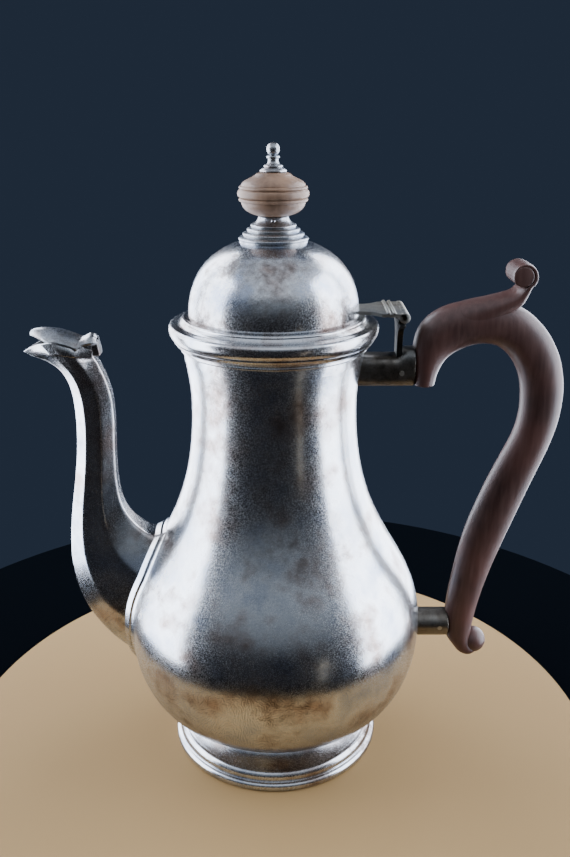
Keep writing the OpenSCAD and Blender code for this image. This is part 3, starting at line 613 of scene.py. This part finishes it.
makePiece("spoutCollar", [collarSurface(collarRows)], spoutSilver,
          "pot", ["spout_collar"], wrap=True)
print("spout made")


flap = {"pinX": -64.6, "pinZ": 165.8, "thick": 1.0, "knuckle": 1.2, "lugHalf": 3.0}

# distance along, half width, ridge height, edge height; from the tip of the beak to the hinge
flapRows = [
    (-87.8, 0.3, 169.5, 169.3), (-87.2, 1.2, 170.2, 169.5), (-85.8, 2.7, 170.9, 169.4),
    (-83, 4.7, 171.3, 168.5), (-80.5, 6.1, 171.2, 167.7), (-77.2, 7.2, 170.7, 167.4),
    (-74.7, 7.5, 169.8, 166.9), (-72, 7.4, 168.8, 166.0), (-70.3, 7.2, 168.2, 165.2),
    (-69.3, 6.4, 167.8, 165.9), (-68.0, 5.4, 168.2, 166.4), (-66.2, 5.3, 169.1, 166.8),
    (-64.8, 4.9, 169.0, 166.9), (-63.8, 3.9, 168.0, 166.6),
]


# leaf-shaped shell: across it the height falls from the ridge to the edge by a power of the distance,
# with three shallow lobes near the hinge; the under side is drawn in by a twentieth
def flapSurface(rows, thick):
    r = spline(rows, 90)
    v = np.linspace(-1, 1, 41)
    x, width, ridge, edge = (r[:, c][:, None] for c in range(4))
    lobes = 0.35 * np.cos(v * np.pi * 3) * np.clip((x + 70) / 4, 0, 1)
    top = np.stack([x + 0 * v, width * v, edge + (ridge - edge) * (1 - np.abs(v)**2.1) + lobes * 0.5], -1)
    under = top - (0, 0, thick) + np.stack([0 * v + 0 * x, -width * v * 0.05, 0 * v + 0 * x], -1)
    return np.concatenate([top, under[:, ::-1]], 1)


# lug that carries the pin: rounded over the pin and wider where it stands on the spout
lugTurn = np.linspace(np.pi, 0, 15)
lugTop = flap["knuckle"] * np.stack([np.cos(lugTurn), np.sin(lugTurn)], 1) + (flap["pinX"], flap["pinZ"])
lugFoot = [(-62.9, 163.6), (-62.7, 161.3), (-65.7, 161.3), (-65.7, 163.6)]
lugLine = np.insert(np.vstack([lugTop, lugFoot]), 1, -flap["lugHalf"], 1)
prism("flapLug", [[lugLine, lugLine * (1, -1, 1)]], 0.4, finialSilver, "pot", ["flap_lug"])
makePiece("spoutFlap", [flapSurface(flapRows, flap["thick"])], finialSilver, "spout_flap",
          ["spout_flap"], capped=True)


handle = {"topHalf": 7.0, "lowHalf": 5.6, "curlRadius": 3.35, "curlHalf": 6.7, "rows": 260, "sides": 72,
          "start": 51.05, "startTop": 164, "ballHalf": (5.1, 5.0, 5.6), "ballPlace": (80.4, 41.2)}

# outer point x z, inner point x z, share of the way to the slim end
handleRows = [
    (50.2, 150.8, 58.6, 150.8, 0), (50.2, 156, 59.6, 155, 0), (50.2, 162.5, 61.6, 159, 0),
    (51.2, 169.4, 64.4, 161.8, 0), (54.6, 174.8, 68.3, 163.9, 0), (60.6, 178.8, 72.6, 165.2, 0),
    (69, 180.9, 76.6, 165.5, 0), (79.5, 181, 80.6, 164.6, 0.05), (89.2, 178.1, 84.8, 161.3, 0.1),
    (97.4, 171, 88, 156.6, 0.15), (103, 161.8, 89.9, 151.6, 0.2), (105.7, 152, 90.7, 146, 0.25),
    (106.1, 143, 90.8, 139.8, 0.3), (105, 134.3, 89.9, 133.5, 0.35), (102.6, 125.4, 87.9, 127.6, 0.4),
    (99.3, 116.2, 85.1, 121.2, 0.5), (95.5, 105.5, 81, 111.6, 0.6), (91.8, 94.8, 77.4, 101.8, 0.65),
    (88.3, 84.5, 74.5, 92.8, 0.7), (85.2, 74.8, 72.2, 83, 0.8), (82.7, 65.8, 70.4, 72.4, 0.85),
    (80.9, 57.6, 69, 62, 0.9), (79.7, 50, 68.4, 52.5, 0.95), (79.3, 45.4, 69, 44.8, 1),
    (79.6, 42, 71.8, 40, 1), (80.2, 40.6, 74.2, 37, 1.05), (80.9, 40, 77, 35.7, 1.3),
    (81.4, 39.8, 79.4, 36.2, 1.7), (82, 39.8, 81.4, 37.8, 2.2),
]
curlCentre = np.array([86.6, 190.5])


# rounded bar between an outer and an inner line: each ring is an ellipse squared off by a power
def carvedBar(rows, count, sides, power):
    r = spline(rows, count)
    outerPoint, innerPoint, side = r[:, 0:2], r[:, 2:4], r[:, 4][:, None]
    middle, half = (outerPoint + innerPoint) / 2, (outerPoint - innerPoint) / 2
    a = np.linspace(0, fullTurn, sides, endpoint=False)
    c, s = signedPower(np.cos(a), power), signedPower(np.sin(a), power)
    return np.stack([middle[:, 0][:, None] + half[:, 0][:, None] * c, side * s,
                     middle[:, 1][:, None] + half[:, 1][:, None] * c], -1)


mainRows = np.array(handleRows)
mainRows[:, 4] = handle["topHalf"] + (handle["lowHalf"] - handle["topHalf"]) * mainRows[:, 4]
mainBar = carvedBar(mainRows, handle["rows"], handle["sides"], 0.94)

# under startTop the bar is cut flat, where it meets the plate of the upper socket
mainBar[..., 0] = np.where(mainBar[..., 2] < handle["startTop"],
                           np.maximum(mainBar[..., 0], handle["start"]), mainBar[..., 0])


# strap that thins as it rolls round the curl: its radius falls by a power of the angle left
def thumbScroll():
    a = np.radians(np.arange(-50, 201, 10))
    left = (np.radians(200) - a) / np.radians(250)
    radius = handle["curlRadius"] + 0.1 + 2.3 * left**0.9
    thick = 1.1 + 1.9 * left**3
    direction = np.stack([np.cos(a), np.sin(a)], 1)
    rolled = np.hstack([curlCentre + direction * (radius - thick)[:, None],
                        curlCentre + direction * radius[:, None], np.full((len(a), 1), 6.6)])
    stem = [(55.6, 174.9, 69.5, 164.9, 6.5), (62.4, 179.1, 73.4, 167, 6.7), (69.6, 181.3, 76.6, 170.8, 6.8),
            (76, 182.6, 80.4, 174.4, 6.8), (81.2, 183.8, 84.8, 177.6, 6.7), (84.8, 185, 88.1, 180.4, 6.6)]
    squareness = np.interp(np.linspace(0, 1, 220), (0, 0.1, 0.3), (0.94, 0.9, 0.5))[:, None]
    return carvedBar(np.vstack([stem, rolled]), 220, 64, squareness)


curl, curlHalf = handle["curlRadius"] + 0.2, handle["curlHalf"]
roll = lyingAlongY(revolve([(0, -curlHalf), (curl - 0.4, -curlHalf), (curl - 0.12, 0.08 - curlHalf),
                            (curl, 0.35 - curlHalf), (curl, curlHalf - 0.35), (curl - 0.12, curlHalf - 0.08),
                            (curl - 0.4, curlHalf), (0, curlHalf)], 72), *curlCentre)
ballAngle = np.linspace(-np.pi / 2, np.pi / 2, 40)
endBall = revolve(np.stack([np.cos(ballAngle), np.sin(ballAngle)], 1), 64) * handle["ballHalf"]
endBall = lyingAlongY(endBall, *handle["ballPlace"])
makePiece("handle", [mainBar, thumbScroll(), roll, endBall], handleWood, "pot", ["handle"],
          capped=True)
print("handle made")


socket = {"upperZ": 155.8, "upperRadius": 5.8, "upperEnd": 50.95, "flareX": 45.9, "plateUp": 8.2,
          "lowerZ": 49.6, "lowerRadius": 5.6, "lowerEnd": 69.4}


# bar along X from rows of x, middle height, half width and half height; its section is a squared ellipse
def barAlongX(rows, power, sides=72):
    r = np.array(rows, float)
    a = np.linspace(0, fullTurn, sides, endpoint=False)
    c, s = signedPower(np.cos(a), power), signedPower(np.sin(a), power)
    return np.stack([r[:, 0][:, None] + 0 * a, r[:, 2][:, None] * c,
                     r[:, 1][:, None] + r[:, 3][:, None] * s], -1)


# the bar's inner end follows the middle of the body's wall and doesn't reach inside
def fromWall(grid):
    wall = np.sqrt((bodyRadius(grid[..., 2]) - body["wall"] / 2)**2 - grid[..., 1]**2)
    return np.concatenate([np.maximum(grid[..., :1], wall[..., None]), grid[..., 1:]], -1)


# upper arm: it flares up into its end plate by a logistic curve
upperRadius = socket["upperRadius"]
armX = np.concatenate([np.linspace(27, 43, 14), np.linspace(43.6, socket["upperEnd"] - 0.75, 18)])
rise = (socket["plateUp"] - upperRadius) / (1 + np.exp(-(armX - socket["flareX"]) * 1.7))
armRows = np.stack([armX, socket["upperZ"] + rise / 2, upperRadius + 0 * armX, upperRadius + rise / 2], 1)
armEnd = [armRows[-1] + (dx, 0, -cut, -cut) for dx, cut in ((0.45, 0.05), (0.65, 0.2), (0.75, 0.45))]
makePiece("upperSocket", [fromWall(barAlongX(np.vstack([armRows, armEnd]), 0.62))], blackenedSilver,
          "pot", ["upper_socket"], capped=True)

# lower arm: straight, with its end rounded in three steps
lowEnd, lowZ, lowRadius = socket["lowerEnd"], socket["lowerZ"], socket["lowerRadius"]
lowRows = [(x, lowZ, lowRadius, lowRadius) for x in np.linspace(52, lowEnd - 0.7, 20)]
lowRows += [(lowEnd - back, lowZ, lowRadius - cut, lowRadius - cut)
            for back, cut in ((0.3, 0.05), (0.1, 0.2), (0, 0.5))]
makePiece("lowerSocket", [fromWall(barAlongX(lowRows, 1.0))], blackenedSilver, "pot",
          ["lower_socket"], capped=True)


hinge = {"x": 45.6, "up": 8.6, "width": 21.0, "knuckle": 1.9, "strap": 1.3, "play": 0.2, "count": 5}
hingeZ = body["rimHeight"] + hinge["up"]
pitch = hinge["width"] / hinge["count"]


# one barrel of the hinge, counted from its near end
def knuckleGrid(i):
    low = -hinge["width"] / 2 + i * pitch + hinge["play"] / 2
    high = low + pitch - hinge["play"]
    r = hinge["knuckle"]
    return lyingAlongY(revolve([(0, low), (r - 0.15, low), (r, low + 0.15), (r, high - 0.15),
                                (r - 0.15, high), (0, high)], 48), hinge["x"], hingeZ)


# an outline in two of the axes, given at two places along the third
def flat(outline, low, high, axis):
    p = np.array(outline, float)
    return [np.insert(p, axis, value, 1) for value in (low, high)]


leafHalf = hinge["width"] / 2 - hinge["play"] / 2
strapTop = hingeZ + hinge["knuckle"] - 0.3
strapSide = np.array([(dome - 0.9, 6.0), (dome + 2, 6.3), (dome + 4, 6.9), (dome + 6.2, 8.8),
                      (dome + 7.6, leafHalf), (hinge["x"] + 0.6, leafHalf)])
plan = np.vstack([soften(strapSide * (1, -1), 2), soften(strapSide, 2)[::-1]])
prism("lidStrap", [flat(plan, strapTop - hinge["strap"], strapTop, 2)], 0.3, dullSilver,
      "lid", ["lid_strap"])
for x in (hinge["x"] - 5.6, hinge["x"] - 3.6):
    reed = revolve([(0, -leafHalf), (0.45, -leafHalf), (0.6, 0.2 - leafHalf), (0.6, leafHalf - 0.2),
                    (0.45, leafHalf), (0, leafHalf)], 32)
    makePiece(f"strapReed{int(x * 10)}", [lyingAlongY(reed, x, strapTop)], dullSilver, "lid", [])
makePiece("strapKnuckles", [knuckleGrid(i) for i in (0, 2, 4)], dullSilver, "lid", [])

shoulder = hingeZ - hinge["knuckle"] - 0.6
postSide = [(4.4, 158), (3.8, 162), (3.6, 166.5), (5.0, shoulder - 2.6), (leafHalf, shoulder - 0.8),
            (leafHalf, shoulder)]
post = soften([(-4.4, 158)] + postSide + [(-y, z) for y, z in postSide[:0:-1]], 2, True)
webs = [flat([(y0, shoulder - 1), (y1, shoulder - 1), (y1, hingeZ - 0.8), (y0, hingeZ - 0.8)],
             hinge["x"] - 1.6, hinge["x"] + 1.0, 0)
        for y0, y1 in ((-leafHalf + k * pitch, -leafHalf + (k + 1) * pitch - 0.2) for k in (1, 3))]
# the stand's near-black silver carries painted shade from the lid as well as its sulphide
prism("hingeBracket", [flat(post, hinge["x"] - 1.6, hinge["x"] + 0.4, 0)] + webs, 0.3, oxidisedShadedSilver,
      "pot", ["hinge_bracket"])
makePiece("bracketKnuckles", [knuckleGrid(i) for i in (1, 3)], dullSilver, "pot", [])
print("sockets and hinge made")


# pins and the nut keep the model's own shape and take a silver like their neighbours'
for nodeName, material in (("flap_hinge_pin", dullSilver), ("finial_nut", blackenedSilver),
                           ("hinge_pin", blackenedSilver), ("upper_handle_pin", dullSilver),
                           ("lower_handle_pin", dullSilver)):
    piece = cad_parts[nodeName]
    for place in piece.material_slots:
        place.material = material


studio = {
    "floor": "#977a50", "floorRadius": 0.13,                    # a pale round floor, in metres
    "table": "#05070a", "tableRadius": 0.21,                    # dark slate that it lies on
    "backAir": "#252e3d", "frontAir": "#26262a", "upperAir": "#99a2ae",
    "distance": 0.95,                                           # of the tall windows, in metres
    "windowLow": -0.5, "windowHigh": 1.1, "windowPower": 30,    # watts a square metre
    "daylight": "#e9f0ff", "lampLight": "#fff2dc",
}

# matt paint on both discs, so that they stay plain in the silver
discAngle = np.linspace(0, fullTurn, 128, endpoint=False)
for name, below, shine in (("floor", 0.0002, 0.25), ("table", 0.003, 0)):
    surface, tree, shader = newMaterial(name + "Paint")
    shader.inputs["Base Color"].default_value = linear(studio[name])
    shader.inputs["Roughness"].default_value = 0.8
    shader.inputs["Specular IOR Level"].default_value = shine
    mesh = bpy.data.meshes.new(name)
    radius = studio[name + "Radius"]
    ring = np.stack([radius * np.cos(discAngle), radius * np.sin(discAngle), 0 * discAngle - below], 1)
    mesh.from_pydata(ring.tolist(), [], [list(range(len(ring)))])
    mesh.materials.append(surface)
    piece = bpy.data.objects.new(name, mesh)
    bpy.context.scene.collection.objects.link(piece)

# still air: blue-grey behind the pot; in front of it dark low down and lighter with height
world = bpy.data.worlds.new("studioAir")
world.use_nodes = True
airTree = world.node_tree
lookedAt = addNode(airTree, "ShaderNodeTexCoord", {}, {}, "Generated")
backward = addNode(airTree, "ShaderNodeSeparateXYZ", {}, {"Vector": lookedAt}, "Y")
upward = addNode(airTree, "ShaderNodeSeparateXYZ", {}, {"Vector": lookedAt}, "Z")
backShare = addNode(airTree, "ShaderNodeMapRange", {"From Min": -0.4, "From Max": 0.4}, {"Value": backward})
upperShare = addNode(airTree, "ShaderNodeMapRange", {"From Min": 0.08, "From Max": 0.6}, {"Value": upward})
frontAir = addNode(airTree, "ShaderNodeMix", {"data_type": "RGBA", 6: linear(studio["frontAir"]),
                                              7: linear(studio["upperAir"])}, {0: upperShare}, 2)
air = addNode(airTree, "ShaderNodeMix", {"data_type": "RGBA", 7: linear(studio["backAir"])},
              {0: backShare, 6: frontAir}, 2)
airTree.links.new(air, airTree.nodes["Background"].inputs["Color"])
bpy.context.scene.world = world


# flat area light: it stands at an angle from the view direction, positive to the right, and faces its aim
def panel(name, azimuth, distance, height, size, watts, aimHeight, colour="#ffffff"):
    turn = np.radians(azimuth)
    place = Vector((distance * np.sin(turn), -distance * np.cos(turn), height))
    data = bpy.data.lights.new(name, "AREA")
    data.shape = "RECTANGLE"
    data.size, data.size_y = size
    data.energy = watts * size[0] * size[1]
    data.color = linear(colour)[:3]
    lamp = bpy.data.objects.new(name, data)
    lamp.location = place
    lamp.rotation_euler = (Vector((0, 0, aimHeight)) - place).to_track_quat("-Z", "Y").to_euler()
    lamp.visible_camera = False
    bpy.context.scene.collection.objects.link(lamp)


# tall windows on both sides, each split by an upright: first and last angle of each pane
windowMiddle = (studio["windowLow"] + studio["windowHigh"]) / 2
windowTall = studio["windowHigh"] - studio["windowLow"]
for name, first, last in (("leftFrontPane", -70, -117), ("leftBackPane", -122, -154),
                          ("rightFrontPane", 67, 114), ("rightBackPane", 119, 152)):
    wide = 2 * studio["distance"] * np.tan(np.radians(abs(last - first) / 2))
    panel(name, (first + last) / 2, studio["distance"], windowMiddle, (wide, windowTall),
          studio["windowPower"], windowMiddle, studio["daylight"])

# a narrow, low and warm strip for a thin line of light in the silver, and a wide weak ceiling
panel("slimMirror", 35, 1.1, -0.36, (0.05, 0.72), 3, -0.36, studio["lampLight"])
panel("ceiling", 0, 0.35, 1.5, (3.2, 2.4), 2.1, 0.1, studio["daylight"])

# place in metres; focal is the focal length in heights of the view; it looks down by tilt degrees
viewing = {"place": (0.00397, -0.3161, 0.2481), "tilt": 20.08, "focal": 900 / 857, "film": 36}
cameraData = bpy.data.cameras.new("view")
cameraData.sensor_fit = "VERTICAL"
cameraData.sensor_height = viewing["film"]
cameraData.lens = viewing["film"] * viewing["focal"]
cameraData.clip_start = 0.01
view = bpy.data.objects.new("view", cameraData)
view.location = viewing["place"]
view.rotation_euler = (np.radians(90 - viewing["tilt"]), 0, 0)
bpy.context.scene.collection.objects.link(view)
bpy.context.scene.camera = view
print("studio made")
